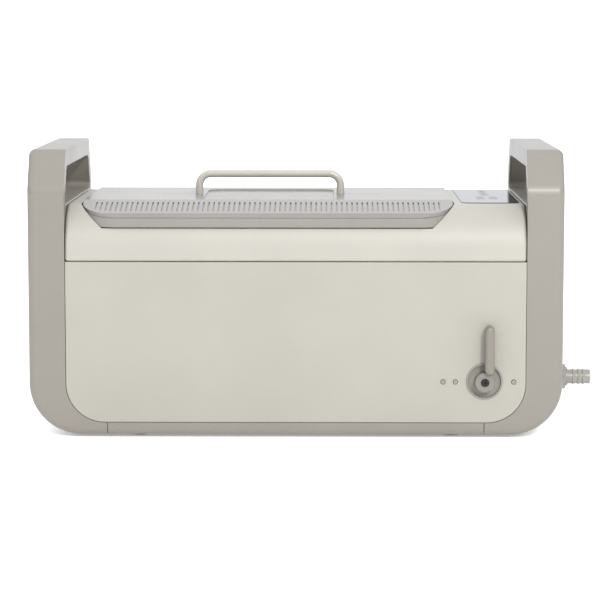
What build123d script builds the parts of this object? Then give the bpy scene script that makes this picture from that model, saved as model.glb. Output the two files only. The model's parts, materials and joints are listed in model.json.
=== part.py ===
"""Bench-top ultrasonic cleaner: heated tank with a lift-off lid, a basket and a drain valve.

Working frame, millimetres: X to the user's right, Y to the rear, Z up, with X = 0 and Y = 0 at
the middle of the housing and Z = 0 on the bench. Everything is shifted once, when it is saved,
so that the origin ends up under the centre of the whole object's bounding box.
"""

import math
import os

from build123d import *

# ---- driving dimensions -------------------------------------------------------------------
HOUSING_WIDTH = 562.0
HOUSING_DEPTH = 300.0
HOUSING_HEIGHT = 303.0
BODY_WIDTH = 484.0
FOOT_HEIGHT = 3.0
WALL = 3.0
FIT = 0.2
THREAD_FIT = 0.05

# side frames: each one is a loop that carries the body and makes the hand-hold
FRAME_OUTER_RADIUS = 55.0
FRAME_INNER_RADIUS = 41.0
FRAME_LEAN_START = 262.0
FRAME_LEAN_RADIUS = 18.0
FRAME_TOP_HALF = 127.0
FRAME_TOP_RADIUS = 8.0
FRAME_EDGE_RADIUS = 7.0
FRAME_FOOT_X = 198.6
FRAME_FOOT_TOP = 16.3
LINER_THICKNESS = 2.4
TRAY_GAP = 0.6
WINDOW_TOP = 284.0
WINDOW_TOP_HALF = 117.0
WINDOW_BOTTOM_HALF = 139.0
WINDOW_SLEEVE = 2.5

# body shells
PANEL_TOP = 186.3
COVER_BOTTOM = 186.7
COVER_TOP = 245.0
SHOULDER_RADIUS = 43.0
COVER_END_RADIUS = 4.0
PANEL_DEPTH = 14.0
PANEL_EDGE_RADIUS = 1.2
COVER_SCREW_YZ = ((-90.0, 205.0), (90.0, 205.0))
FOOT_PLACES = [(x, y) for x in (-165.0, 165.0) for y in (-118.0, 118.0)]
STANDOFF_PLACES = [(x, y) for x in (-184.0, -26.0) for y in (-69.0, 69.0)]

# lid
LID_CENTRE_X = -30.0
LID_WIDTH = 393.0
LID_DEPTH = 296.0
LID_CORNER = 39.0
LID_TOP = 248.0
LID_FLAT_HALF = 98.0
LID_SLOPE_HALF = 141.0
LID_SLOPE_BOTTOM = 237.5
LID_SEAM = 231.8
LID_BOTTOM = 222.0
LID_GAP = 0.7
LID_STEP = 1.0
RIM_TOP = 245.6
RIB_PITCH = 5.4
RIB_GROOVE = 1.6
RIB_DEPTH = 1.2
RIB_START = 9.0
RIB_LENGTH_SHARE = 0.93
LEDGE_TOP = 221.0
LINER_PLATE_TOP = 227.5
LID_POSTS = [(LID_CENTRE_X + x, y) for x in (-165.0, 0.0, 165.0) for y in (-90.0, 90.0)]
PLUG_OFFSET = 118.0
PLUG_RADIUS = 1.6
DISH_HALF_WIDTH = 70.0
DISH_FRONT = -93.0
DISH_REAR = 64.0
DISH_FLOOR = 246.3
DISH_BOTTOM_RADIUS = 1.4
HANDLE_SPAN = 154.6
HANDLE_DIAMETER = 8.4
HANDLE_Y = -12.0
HANDLE_Z = 270.4
HANDLE_BEND = 12.5
HANDLE_FOOT = 236.0

# tank, basket and sound sources
TANK_X = (-205.0, 145.0)
TANK_HALF_DEPTH = 110.0
TANK_BOTTOM = 118.0
TANK_SHEET = 1.2
TANK_CORNER = 22.0
TANK_FLANGE = 12.0
FLANGE_BOTTOM = 222.0
BASKET_X = (-195.0, 135.0)
BASKET_HALF_DEPTH = 98.0
BASKET_Z = (132.0, 205.0)
BASKET_SHEET = 1.5
TRANSDUCER_X = (-110.0, 50.0)
TRANSDUCER_Y = (-55.0, 55.0)

# drain line: one axis along X for valve and outlet, one along Y for the valve's stem
VALVE_X = 198.3
VALVE_Y = -112.0
VALVE_Z = 60.7
BALL_RADIUS = 10.5
WATERWAY_RADIUS = 6.0
STEM_RADIUS = 5.0
HOSE_RADIUS = 9.5
HOSE_BORE = 7.0
DRAIN_X = 118.0
DRAIN_Y = -83.0
BARB_RADIUS = 7.8
RIDGE_RADIUS = 8.5
OUTLET_END = 312.4
RIDGE_X = (293.8, 299.5, 304.4)
RIDGE_LENGTH = 3.0
PIPE_RADIUS = 9.45
OUTLET_START = 14.8
OUTLET_NUT = 5.3
OUTLET_BORE = 4.8
DISH_RADIUS = 17.3
DISH_STEP = 2.0
NUT_POCKET_RADIUS = 10.15
LEVER_WIDTH = 9.9
LEVER_OFFSET = 4.5
LEVER_TIP_Z = 120.6
LEVER_FRONT = -170.0
LEVER_EDGE_RADIUS = 3.4
HUB_RADIUS = 10.4
HUB_FRONT = -161.0
SCREW_HEAD_DEPTH = 6.0
PANEL_SCREW_X = (154.8, 167.8, 229.1)
PANEL_SCREW_Z = 60.1

# rear panel fittings
BAY_X = (165.0, 225.0)
BAY_Z = (28.0, 108.0)
BAY_FLOOR = 144.0
REAR_X = 195.0
INLET_Z = 48.0
SWITCH_Z = 84.0
SWITCH_PIVOT_Y = 143.5
SWITCH_TILT = 8.0
FAN_Z = 148.0
FAN_SIZE = 60.0
FAN_Y = (125.0, 145.0)

# control window in the top cover
GLASS_X = (175.5, 237.0)
GLASS_Y = (-109.0, 100.0)
GLASS_SUNK = 2.0
GLASS_PROUD = 0.7
GLASS_CORNER = 9.0
BOARD_THICKNESS = 1.6

HALF_WIDTH = HOUSING_WIDTH / 2
HALF_DEPTH = HOUSING_DEPTH / 2
HALF_BODY = BODY_WIDTH / 2
FRONT = -HALF_DEPTH
REAR = HALF_DEPTH
SHIFT = Pos(-(OUTLET_END - HALF_WIDTH) / 2, -(LEVER_FRONT + REAR) / 2, 0)

nodes = {}


# ---- small helpers ------------------------------------------------------------------------
def block(x_span, y_span, z_span):
    """Box between three pairs of coordinates."""
    spans = (x_span, y_span, z_span)
    size = [high - low for low, high in spans]
    centre = [(high + low) / 2 for low, high in spans]
    return Pos(*centre) * Box(*size)


def rod(axis, across, radius, start, end):
    """Cylinder along an axis. across holds the two other coordinates, in X, Y, Z order."""
    middle = (start + end) / 2
    if axis == "X":
        place = Pos(middle, *across) * Rot(0, 90, 0)
    elif axis == "Y":
        place = Pos(across[0], middle, across[1]) * Rot(90, 0, 0)
    else:
        place = Pos(*across, middle)
    return place * Cylinder(radius, end - start)


def rounded_block(x_span, y_span, z_span, corner):
    """Box whose four vertical edges are rounded."""
    width = x_span[1] - x_span[0]
    depth = y_span[1] - y_span[0]
    centre = ((x_span[0] + x_span[1]) / 2, (y_span[0] + y_span[1]) / 2)
    outline = Pos(*centre, z_span[0]) * RectangleRounded(width, depth, corner)
    return extrude(outline, z_span[1] - z_span[0])


def hexagon(axis, across, flats, start, end):
    """Hexagonal prism along X, Y or Z with the given width across flats."""
    outline = RegularPolygon(flats / 2, 6, major_radius=False)
    prism = extrude(outline, end - start)
    if axis == "X":
        return Pos(start, *across) * Rot(0, 90, 0) * prism
    if axis == "Y":
        return Pos(across[0], end, across[1]) * Rot(90, 0, 0) * prism
    return Pos(*across, start) * prism


def both_sides(part):
    """The part and its mirror image left to right."""
    return [part, mirror(part, about=Plane.YZ)]


def screw(axis, across, head_radius, head_height, shank_radius, head_at, shank_end):
    """Pan-head screw: the head's bearing face is at head_at and the shank runs to shank_end."""
    direction = 1 if shank_end > head_at else -1
    head_end = head_at - direction * head_height
    head = rod(axis, across, head_radius, min(head_at, head_end), max(head_at, head_end))
    rim = head.edges().filter_by(GeomType.CIRCLE)
    coordinate = {"X": Axis.X, "Y": Axis.Y, "Z": Axis.Z}[axis]
    outer = rim.sort_by(coordinate)[0 if direction > 0 else -1]
    head = fillet(outer, min(head_height, head_radius) * 0.6)
    shank = rod(axis, across, shank_radius, min(head_at, shank_end), max(head_at, shank_end))
    return head + shank


def save(name, *parts):
    """Collect the solids of one node under its name."""
    solids = []
    for part in parts:
        solids.extend(part.solids())
    nodes[name] = Compound(children=[SHIFT * solid for solid in solids])


# ---- side frames --------------------------------------------------------------------------
def frame_front_face():
    """Front outline of the right frame."""
    centre = (HALF_WIDTH - FRAME_OUTER_RADIUS, FOOT_HEIGHT + FRAME_OUTER_RADIUS)
    corner = (HALF_BODY - FRAME_INNER_RADIUS, FRAME_FOOT_TOP + FRAME_INNER_RADIUS)
    bottom = FOOT_HEIGHT
    top = HOUSING_HEIGHT
    outline = [
        Line((FRAME_FOOT_X, bottom), (centre[0], bottom)),
        CenterArc(centre, FRAME_OUTER_RADIUS, -90, 90),
        Line((HALF_WIDTH, centre[1]), (HALF_WIDTH, top)),
        Line((HALF_WIDTH, top), (HALF_BODY, top)),
        Line((HALF_BODY, top), (HALF_BODY, corner[1])),
        CenterArc(corner, FRAME_INNER_RADIUS, -90, 90),
        Line((corner[0], FRAME_FOOT_TOP), (FRAME_FOOT_X, FRAME_FOOT_TOP)),
        Line((FRAME_FOOT_X, FRAME_FOOT_TOP), (FRAME_FOOT_X, bottom)),
    ]
    return Plane.XZ * make_face(outline)


def frame_side_body(inset, x_span):
    """Side outline of a frame as a slab along X: upright ends lean inwards near the top."""
    lean = math.atan2(HALF_DEPTH - FRAME_TOP_HALF, HOUSING_HEIGHT - FRAME_LEAN_START)
    half = HALF_DEPTH - inset
    top = HOUSING_HEIGHT - inset
    lean_start = FRAME_LEAN_START - inset * math.tan(lean / 2)
    top_half = FRAME_TOP_HALF - inset * math.tan((math.pi / 2 - lean) / 2)
    points = [
        (-half, FOOT_HEIGHT),
        (half, FOOT_HEIGHT),
        (half, lean_start),
        (top_half, top),
        (-top_half, top),
        (-half, lean_start),
    ]
    face = Plane.YZ.offset(x_span[0]) * make_face(Polyline(*points, close=True))
    slab = extrude(face, x_span[1] - x_span[0])
    levels = slab.edges().filter_by(Axis.X).group_by(Axis.Z)
    slab = fillet(levels[-1], FRAME_TOP_RADIUS - inset)
    levels = slab.edges().filter_by(Axis.X).group_by(Axis.Z)
    return fillet(levels[1], FRAME_LEAN_RADIUS - inset)


def window_slab(grow, x_span):
    """The hand-hold opening as a slab along X, made larger all round by grow."""
    points = [
        (-WINDOW_BOTTOM_HALF - grow, COVER_TOP - grow),
        (WINDOW_BOTTOM_HALF + grow, COVER_TOP - grow),
        (WINDOW_TOP_HALF + grow, WINDOW_TOP + grow),
        (-WINDOW_TOP_HALF - grow, WINDOW_TOP + grow),
    ]
    outline = Plane.YZ.offset(x_span[0]) * make_face(Polyline(*points, close=True))
    slab = extrude(outline, x_span[1] - x_span[0])
    along = slab.edges().filter_by(Axis.X)
    slab = fillet(along.group_by(Axis.Z)[-1], 12.0 + grow)
    return fillet(slab.edges().filter_by(Axis.X).group_by(Axis.Z)[0], 6.0 + grow)


def liner_band(thickness):
    """The strip that closes the frame towards the body, as seen from the front."""
    corner = (HALF_BODY - FRAME_INNER_RADIUS, FRAME_FOOT_TOP + FRAME_INNER_RADIUS)
    outer = FRAME_INNER_RADIUS + thickness
    top = HOUSING_HEIGHT
    outline = [
        Line((HALF_BODY, top), (HALF_BODY, corner[1])),
        CenterArc(corner, FRAME_INNER_RADIUS, -90, 90),
        Line((corner[0], FRAME_FOOT_TOP), (FRAME_FOOT_X, FRAME_FOOT_TOP)),
        Line((FRAME_FOOT_X, FRAME_FOOT_TOP), (FRAME_FOOT_X, FRAME_FOOT_TOP - thickness)),
        Line((FRAME_FOOT_X, FRAME_FOOT_TOP - thickness), (corner[0], FRAME_FOOT_TOP - thickness)),
        CenterArc(corner, outer, -90, 90),
        Line((HALF_BODY + thickness, corner[1]), (HALF_BODY + thickness, top)),
        Line((HALF_BODY + thickness, top), (HALF_BODY, top)),
    ]
    return extrude(Plane.XZ * make_face(outline), HALF_DEPTH - WALL, both=True)


def make_frame_shell():
    """Moulded outer shell of the right frame, hollow and open towards the body."""
    reach = (FRAME_FOOT_X - 5, HALF_WIDTH + 5)
    solid = extrude(frame_front_face(), HALF_DEPTH, both=True)
    solid = solid & frame_side_body(0, reach)
    outer_edges = [edge for edge in solid.edges() if on_outer_rim(edge)]
    solid = fillet(outer_edges, FRAME_EDGE_RADIUS)
    solid -= window_slab(0, reach)
    window_rim = [edge for edge in solid.edges() if on_window_rim(edge, HALF_WIDTH)]
    solid = fillet(window_rim, 2.0)
    cavity = extrude(frame_cavity_face(), HALF_DEPTH, both=True) & frame_side_body(WALL, reach)
    sleeve = window_slab(WINDOW_SLEEVE, reach)
    liner_space = liner_band(WINDOW_SLEEVE) & frame_side_body(WALL, reach)
    return solid - (cavity - sleeve) - liner_space


def frame_cavity_face():
    """Front outline of the frame's hollow, which runs out past its open inner side."""
    centre = (HALF_WIDTH - FRAME_OUTER_RADIUS, FOOT_HEIGHT + FRAME_OUTER_RADIUS)
    bottom = FOOT_HEIGHT + WALL
    inner_x = FRAME_FOOT_X - 5
    outer_x = HALF_WIDTH - WALL
    outline = [
        Line((inner_x, bottom), (centre[0], bottom)),
        CenterArc(centre, FRAME_OUTER_RADIUS - WALL, -90, 90),
        Line((outer_x, centre[1]), (outer_x, HOUSING_HEIGHT)),
        Line((outer_x, HOUSING_HEIGHT), (inner_x, HOUSING_HEIGHT)),
        Line((inner_x, HOUSING_HEIGHT), (inner_x, bottom)),
    ]
    return Plane.XZ * make_face(outline)


def on_outer_rim(edge):
    """True for the edges where the frame's outer face turns into its front, top and rear."""
    centre = edge.center()
    box = edge.bounding_box()
    flat_end = abs(abs(centre.Y) - HALF_DEPTH) < 0.01 and box.size.Y < 0.01
    if flat_end:
        on_side = box.min.X > HALF_WIDTH - 0.01
        on_bottom = box.max.Z < FOOT_HEIGHT + 0.01
        on_corner = edge.geom_type == GeomType.CIRCLE and edge.radius > FRAME_INNER_RADIUS + 1
        return on_side or on_bottom or on_corner
    return box.min.X > HALF_WIDTH - 0.01 and box.max.Z > FRAME_LEAN_START


def on_window_rim(edge, x_level):
    """True for the edges of the hand-hold opening in the plane X = x_level."""
    box = edge.bounding_box()
    in_plane = abs(box.min.X - x_level) < 0.01 and abs(box.max.X - x_level) < 0.01
    inside_y = max(abs(box.min.Y), abs(box.max.Y)) < WINDOW_BOTTOM_HALF + 0.1
    inside_z = box.min.Z > COVER_TOP - 0.1 and box.max.Z < WINDOW_TOP + 0.1
    return in_plane and inside_y and inside_z


def make_frame_liner():
    """Inner skin of the right frame, with the hand-hold opening through it."""
    reach = (FRAME_FOOT_X - 5, HALF_WIDTH + 5)
    liner = liner_band(LINER_THICKNESS) & frame_side_body(WALL + 0.1, reach)
    liner &= block(reach, (0.1 + WALL - HALF_DEPTH, HALF_DEPTH - WALL - 0.1), (0, HOUSING_HEIGHT))
    liner -= window_slab(0, reach)
    rim = [edge for edge in liner.edges() if on_window_rim(edge, HALF_BODY)]
    return fillet(rim, 1.6)


def make_side_frames():
    shell = make_frame_shell()
    liner = make_frame_liner()
    for y, z in COVER_SCREW_YZ:
        liner -= rod("X", (y, z), 2.0, HALF_BODY - 2, HALF_BODY + 5)
    outlet = rod("X", (VALVE_Y, VALVE_Z), PIPE_RADIUS + 0.3, FRAME_FOOT_X, HALF_WIDTH + 5)
    save("side_frame_right", shell - outlet)
    save("side_frame_left", mirror(shell, about=Plane.YZ))
    save("frame_liner_right", liner - outlet)
    save("frame_liner_left", mirror(liner, about=Plane.YZ))


# ---- body shells --------------------------------------------------------------------------
def panel_pan():
    """Front panel without its openings: a shallow pan with rounded lower corners."""
    solid = panel_outline(FIT, FRONT, FRONT + PANEL_DEPTH)
    front_edges = solid.faces().sort_by(Axis.Y)[0].edges()
    solid = fillet(front_edges, PANEL_EDGE_RADIUS)
    hollow = panel_outline(FIT + WALL, FRONT + WALL, FRONT + PANEL_DEPTH)
    return solid - hollow


def panel_outline(inset, y_start, y_end):
    """Rectangle with two large lower corners, extruded from y_start to y_end."""
    half = HALF_BODY - inset
    bottom = FRAME_FOOT_TOP + inset
    top = PANEL_TOP - max(inset - FIT, 0)
    slab = block((-half, half), (y_start, y_end), (bottom, top))
    lower = slab.edges().filter_by(Axis.Y).group_by(Axis.Z)[0]
    return fillet(lower, FRAME_INNER_RADIUS - inset)


def make_front_panel():
    panel = panel_pan()
    panel -= rod("Y", (VALVE_X, VALVE_Z), DISH_RADIUS + 1.3, FRONT - 1, FRONT + WALL + 1)
    for x in PANEL_SCREW_X:
        panel -= rod("Y", (x, PANEL_SCREW_Z), 1.55, FRONT - 1, FRONT + WALL + 1)
    save("front_panel", panel)


def make_rear_panel():
    panel = mirror(panel_pan(), about=Plane.XZ)
    bay_wall = 2.5
    outer = rounded_rear_block(bay_wall, (BAY_FLOOR - bay_wall, REAR))
    panel += outer & block((-HALF_BODY, HALF_BODY), (0, REAR - 1), (0, COVER_TOP))
    panel -= rounded_rear_block(0, (BAY_FLOOR, REAR + 1))
    through = (BAY_FLOOR - bay_wall - 1, BAY_FLOOR + 1)
    panel -= block((REAR_X - 13.7, REAR_X + 13.7), through, (INLET_Z - 10.2, INLET_Z + 10.2))
    panel -= block((REAR_X - 6.7, REAR_X + 6.7), through, (SWITCH_Z - 11.2, SWITCH_Z + 11.2))
    panel -= rod("Y", (REAR_X, FAN_Z), FAN_SIZE / 2 - 2, REAR - WALL - 1, REAR + 1)
    for row in range(9):
        z = 60.0 + 12.0 * row
        slot = rounded_slot(-150.0, -50.0, z)
        panel -= slot
    save("rear_panel", panel)


def rounded_rear_block(grow, y_span):
    """The recessed bay for inlet and switch, made larger by grow across."""
    x_span = (BAY_X[0] - grow, BAY_X[1] + grow)
    z_span = (BAY_Z[0] - grow, BAY_Z[1] + grow)
    slab = block(x_span, y_span, z_span)
    return fillet(slab.edges().filter_by(Axis.Y), 5.0 + grow)


def rounded_slot(x_start, x_end, z):
    """One vent slot through the rear panel."""
    height = 4.0
    slab = block((x_start, x_end), (REAR - WALL - 1, REAR + 1), (z - height / 2, z + height / 2))
    return fillet(slab.edges().filter_by(Axis.Y), height / 2 - 0.05)


def make_base_tray():
    half = FRAME_FOOT_X - TRAY_GAP
    tray = block((-half, half), (FRONT, REAR), (FOOT_HEIGHT, FRAME_FOOT_TOP))
    low_edges = tray.edges().filter_by(Axis.X).group_by(Axis.Z)[0]
    tray = fillet(low_edges, FRAME_EDGE_RADIUS)
    lip = 4.0
    tray -= block((-half, half), (FRONT + lip, REAR - lip), (FOOT_HEIGHT + WALL, HOUSING_HEIGHT))
    for x, y in FOOT_PLACES:
        tray += rod("Z", (x, y), 6.0, FOOT_HEIGHT + WALL - 0.5, 12.0)
        tray -= rod("Z", (x, y), 1.95, 0, 13.0)
    save("base_tray", tray)


def cover_solid(inset, bottom):
    """Outer form of the top cover: flat top with a large quarter-round shoulder front and rear."""
    half = HALF_BODY - FIT - inset
    half_depth = HALF_DEPTH - inset
    radius = SHOULDER_RADIUS - inset
    centre_y = HALF_DEPTH - SHOULDER_RADIUS
    centre_z = COVER_TOP - SHOULDER_RADIUS
    top = COVER_TOP - inset
    outline = [
        Line((-half_depth, bottom), (-half_depth, centre_z)),
        CenterArc((-centre_y, centre_z), radius, 90, 90),
        Line((-centre_y, top), (centre_y, top)),
        CenterArc((centre_y, centre_z), radius, 0, 90),
        Line((half_depth, centre_z), (half_depth, bottom)),
        Line((half_depth, bottom), (-half_depth, bottom)),
    ]
    return extrude(Plane.YZ * make_face(outline), half, both=True)


def rounded_cover():
    """Outer form with its end edges and lower edges rounded."""
    solid = cover_solid(0, COVER_BOTTOM)
    half = HALF_BODY - FIT
    rim = []
    for edge in solid.edges():
        box = edge.bounding_box()
        at_end = box.size.X < 0.01 and abs(abs(edge.center().X) - half) < 0.01
        if at_end and box.max.Z > COVER_TOP - SHOULDER_RADIUS + 0.01:
            rim.append(edge)
    solid = fillet(rim, COVER_END_RADIUS)
    bottom = solid.edges().filter_by(Axis.X).group_by(Axis.Z)[0]
    return fillet(bottom, 2.6)


def lid_outline_block(grow, z_span):
    """Rounded rectangle of the lid's outline, made larger by grow."""
    half = LID_WIDTH / 2 + grow
    half_depth = LID_DEPTH / 2 + grow
    x_span = (LID_CENTRE_X - half, LID_CENTRE_X + half)
    return rounded_block(x_span, (-half_depth, half_depth), z_span, LID_CORNER + grow)


def make_top_cover():
    outer = rounded_cover()
    cover = outer - cover_solid(WALL, COVER_BOTTOM - 1)
    ledge = lid_outline_block(LID_GAP + WALL, (LEDGE_TOP - WALL, COVER_TOP)) & outer
    window_bed = block((GLASS_X[0] - 4, HALF_BODY - 2), (GLASS_Y[0] - 4, GLASS_Y[1] + 4),
                       (COVER_TOP - 5.5, COVER_TOP - 1))
    cover += ledge
    cover += window_bed & outer
    cover -= lid_outline_block(LID_GAP, (LEDGE_TOP, COVER_TOP + 5))
    cover -= tank_plan(2.0, (LEDGE_TOP - WALL - 1, LEDGE_TOP + 1))
    glass = glass_plate(0.25)
    cover -= glass
    cover -= block((GLASS_X[0] + 5, GLASS_X[1] - 5), (GLASS_Y[0] + 5, GLASS_Y[1] - 5),
                   (COVER_TOP - 8, COVER_TOP))
    for y, z in COVER_SCREW_YZ:
        for hole in both_sides(rod("X", (y, z), 1.9 + THREAD_FIT, HALF_BODY - 6, HALF_BODY + 1)):
            cover -= hole
    save("top_cover", cover)


def make_cover_screws():
    screws = []
    bearing = HALF_BODY + LINER_THICKNESS
    for y, z in COVER_SCREW_YZ:
        screws += both_sides(screw("X", (y, z), 3.5, 2.2, 1.9, bearing, HALF_BODY - 7))
    save("cover_screws", *screws)


def make_feet():
    feet = []
    screws = []
    for x, y in FOOT_PLACES:
        foot = rod("Z", (x, y), 12.0, 0, FOOT_HEIGHT)
        foot = fillet(foot.edges().group_by(Axis.Z)[0], 1.0)
        foot -= rod("Z", (x, y), 3.8, -1, 2.0)
        foot -= rod("Z", (x, y), 2.0, -1, FOOT_HEIGHT + 1)
        feet.append(foot)
        screws.append(rod("Z", (x, y), 3.5, 0.6, 2.0) + rod("Z", (x, y), 1.9, 2.0, 11.0))
    save("feet", *feet)
    save("foot_screws", *screws)


# ---- control window -----------------------------------------------------------------------
def glass_plate(grow):
    x_span = (GLASS_X[0] - grow, GLASS_X[1] + grow)
    y_span = (GLASS_Y[0] - grow, GLASS_Y[1] + grow)
    z_span = (COVER_TOP - GLASS_SUNK, COVER_TOP + GLASS_PROUD + grow)
    return rounded_block(x_span, y_span, z_span, GLASS_CORNER + grow)


def make_controls():
    glass = glass_plate(0)
    glass = chamfer(glass.faces().sort_by(Axis.Z)[-1].edges(), 0.4)
    save("control_glass", glass)
    board_top = 230.6
    board = block((181, 231), (-96, 88), (board_top - BOARD_THICKNESS, board_top))
    for x in (185.0, 227.0):
        for y in (-90.0, 82.0):
            board -= rod("Z", (x, y), 1.6, board_top - 3, board_top + 1)
    save("control_board", board)
    display = block((190, 222), (-62, -14), (board_top, 239.5))
    display -= block((192, 220), (-60, -16), (239.0, 240))
    digits = []
    for digit in range(4):
        low = -58.0 + 10.6 * digit
        digits.append(block((194, 218), (low, low + 8.2), (238.2, 239.0)))
    for digit in digits:
        display -= digit
    save("display_module", display)
    springs = []
    for key in range(5):
        at = (206.0, 2.0 + 17.0 * key)
        spring = rod("Z", at, 4.0, board_top, COVER_TOP - GLASS_SUNK)
        springs.append(spring - rod("Z", at, 3.2, board_top + 1, COVER_TOP))
    save("touch_springs", *springs)


# ---- lid ----------------------------------------------------------------------------------
def lid_section(inset, bottom):
    """Section of the lid's upper shell across its depth: flat top, ribbed slope, round lip."""
    top = LID_TOP - inset
    slope_bottom = LID_SLOPE_BOTTOM - inset
    half = LID_DEPTH / 2 - 1.0 - inset
    flat = LID_FLAT_HALF - 0.4 * inset
    slope = LID_SLOPE_HALF - 0.7 * inset
    lip_end = LID_SEAM + 0.2 * inset
    points = [
        Line((-flat, top), (flat, top)),
        Line((flat, top), (slope, slope_bottom)),
        lip_curve((slope, slope_bottom), (half, lip_end), inset),
        Line((half, lip_end), (half, bottom)),
        Line((half, bottom), (-half, bottom)),
        Line((-half, bottom), (-half, lip_end)),
        lip_curve((-half, lip_end), (-slope, slope_bottom), inset),
        Line((-slope, slope_bottom), (-flat, top)),
    ]
    half_width = LID_WIDTH / 2 - 1.0 - inset
    body = extrude(Plane.YZ * make_face(points), half_width, both=True)
    return Pos(LID_CENTRE_X, 0, 0) * body


def rim_block(drop):
    """Everything under the joint between shell and skirt, which follows the slope of the lid."""
    slope_rise = LID_TOP - LID_SLOPE_BOTTOM
    slope_run = LID_SLOPE_HALF - LID_FLAT_HALF
    edge_y = LID_DEPTH / 2
    flat = edge_y - (RIM_TOP - LID_SEAM) * slope_run / slope_rise
    points = [
        (-edge_y - 1, LID_BOTTOM - 1),
        (edge_y + 1, LID_BOTTOM - 1),
        (edge_y + 1, LID_SEAM - drop),
        (edge_y, LID_SEAM - drop),
        (flat, RIM_TOP - drop),
        (-flat, RIM_TOP - drop),
        (-edge_y, LID_SEAM - drop),
        (-edge_y - 1, LID_SEAM - drop),
    ]
    outline = Plane.YZ * make_face(Polyline(*points, close=True))
    return Pos(LID_CENTRE_X, 0, 0) * extrude(outline, LID_WIDTH / 2 + 1, both=True)


def lip_curve(start, end, inset):
    """The lid's rounded lip on its outer surface, a plain slope on its inner one."""
    if inset > 0:
        return Line(start, end)
    side = 1 if end[0] > 0 else -1
    return ThreePointArc(start, (side * (LID_DEPTH / 2 - 2.4), LID_SLOPE_BOTTOM - 2.6), end)


def rib_grooves():
    """Grooves down the front and rear slopes, shorter where the lid's corners turn."""
    run = math.hypot(LID_SLOPE_HALF - LID_FLAT_HALF, LID_TOP - LID_SLOPE_BOTTOM)
    angle = math.degrees(math.atan2(LID_TOP - LID_SLOPE_BOTTOM, LID_SLOPE_HALF - LID_FLAT_HALF))
    count = int((LID_WIDTH - 24.0) / RIB_PITCH)
    half_row = (count - 1) * RIB_PITCH / 2
    grooves = []
    for index in range(count):
        x = index * RIB_PITCH - half_row
        from_end = LID_WIDTH / 2 - abs(x)
        corner = max(LID_CORNER - from_end, 0.0)
        cut_back = LID_CORNER - math.sqrt(LID_CORNER ** 2 - corner ** 2)
        end = run * RIB_LENGTH_SHARE - cut_back
        if end - RIB_START < RIB_GROOVE:
            continue
        groove = Box(RIB_GROOVE, end - RIB_START, 2 * RIB_DEPTH)
        groove = fillet(groove.edges().filter_by(Axis.Z), RIB_GROOVE / 2 - 0.05)
        groove = Pos(0, -(RIB_START + end) / 2, 0) * groove
        placed = Pos(LID_CENTRE_X + x, -LID_FLAT_HALF, LID_TOP) * Rot(angle, 0, 0) * groove
        grooves.append(placed)
        grooves.append(mirror(placed, about=Plane.XZ))
    return grooves


def dish_block(grow, z_span):
    x_span = (LID_CENTRE_X - DISH_HALF_WIDTH - grow, LID_CENTRE_X + DISH_HALF_WIDTH + grow)
    return rounded_block(x_span, (DISH_FRONT - grow, DISH_REAR + grow), z_span, 16.0 + grow)


def handle_leg_places():
    return [(LID_CENTRE_X + side * HANDLE_SPAN / 2, HANDLE_Y) for side in (-1, 1)]


def make_lid_shell():
    plan = lid_outline_block(-LID_STEP, (LID_SEAM, LID_TOP + 5))
    solid = lid_section(0, LID_SEAM - 1) & plan
    inner_plan = lid_outline_block(-LID_STEP - WALL, (LID_SEAM - 2, LID_TOP))
    hollow = lid_section(WALL, LID_SEAM - 2) & inner_plan
    shell = solid - hollow - (rim_block(0) - inner_plan)
    shell += dish_block(2.5, (DISH_FLOOR - 2.5, LID_TOP - 1)) & solid
    dish = dish_block(0, (DISH_FLOOR, LID_TOP + 1))
    dish = fillet(dish.faces().sort_by(Axis.Z)[0].edges(), DISH_BOTTOM_RADIUS)
    for place in handle_leg_places():
        shell += rod("Z", place, 7.5, HANDLE_FOOT - 2.5, LID_TOP - 1) & solid
    shell -= dish
    for place in LID_POSTS:
        post = rod("Z", place, 4.0, LINER_PLATE_TOP, DISH_FLOOR - 0.5)
        shell += post
        shell -= rod("Z", place, 1.45, LINER_PLATE_TOP - 1, LINER_PLATE_TOP + 12)
    for place in handle_leg_places():
        shell -= rod("Z", place, HANDLE_DIAMETER / 2 + THREAD_FIT, HANDLE_FOOT, LID_TOP + 1)
        shell -= rod("Z", place, 2.05, HANDLE_FOOT - 5, HANDLE_FOOT + 1)
    for side in (-1, 1):
        shell -= pivot_groove(side)
        plug_x = LID_CENTRE_X + side * PLUG_OFFSET
        shell -= rod("Z", (plug_x, HANDLE_Y), PLUG_RADIUS + THREAD_FIT, LID_TOP - 4, LID_TOP + 1)
    shell -= Compound(children=rib_grooves())
    save("lid_shell", shell)


def pivot_groove(side):
    """Shallow groove in the lid's top, from a handle leg out to its small plug."""
    start = HANDLE_SPAN / 2
    low, high = sorted((LID_CENTRE_X + side * start, LID_CENTRE_X + side * PLUG_OFFSET))
    return block((low, high), (HANDLE_Y - 1.0, HANDLE_Y + 1.0), (LID_TOP - 0.8, LID_TOP + 1))


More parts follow.
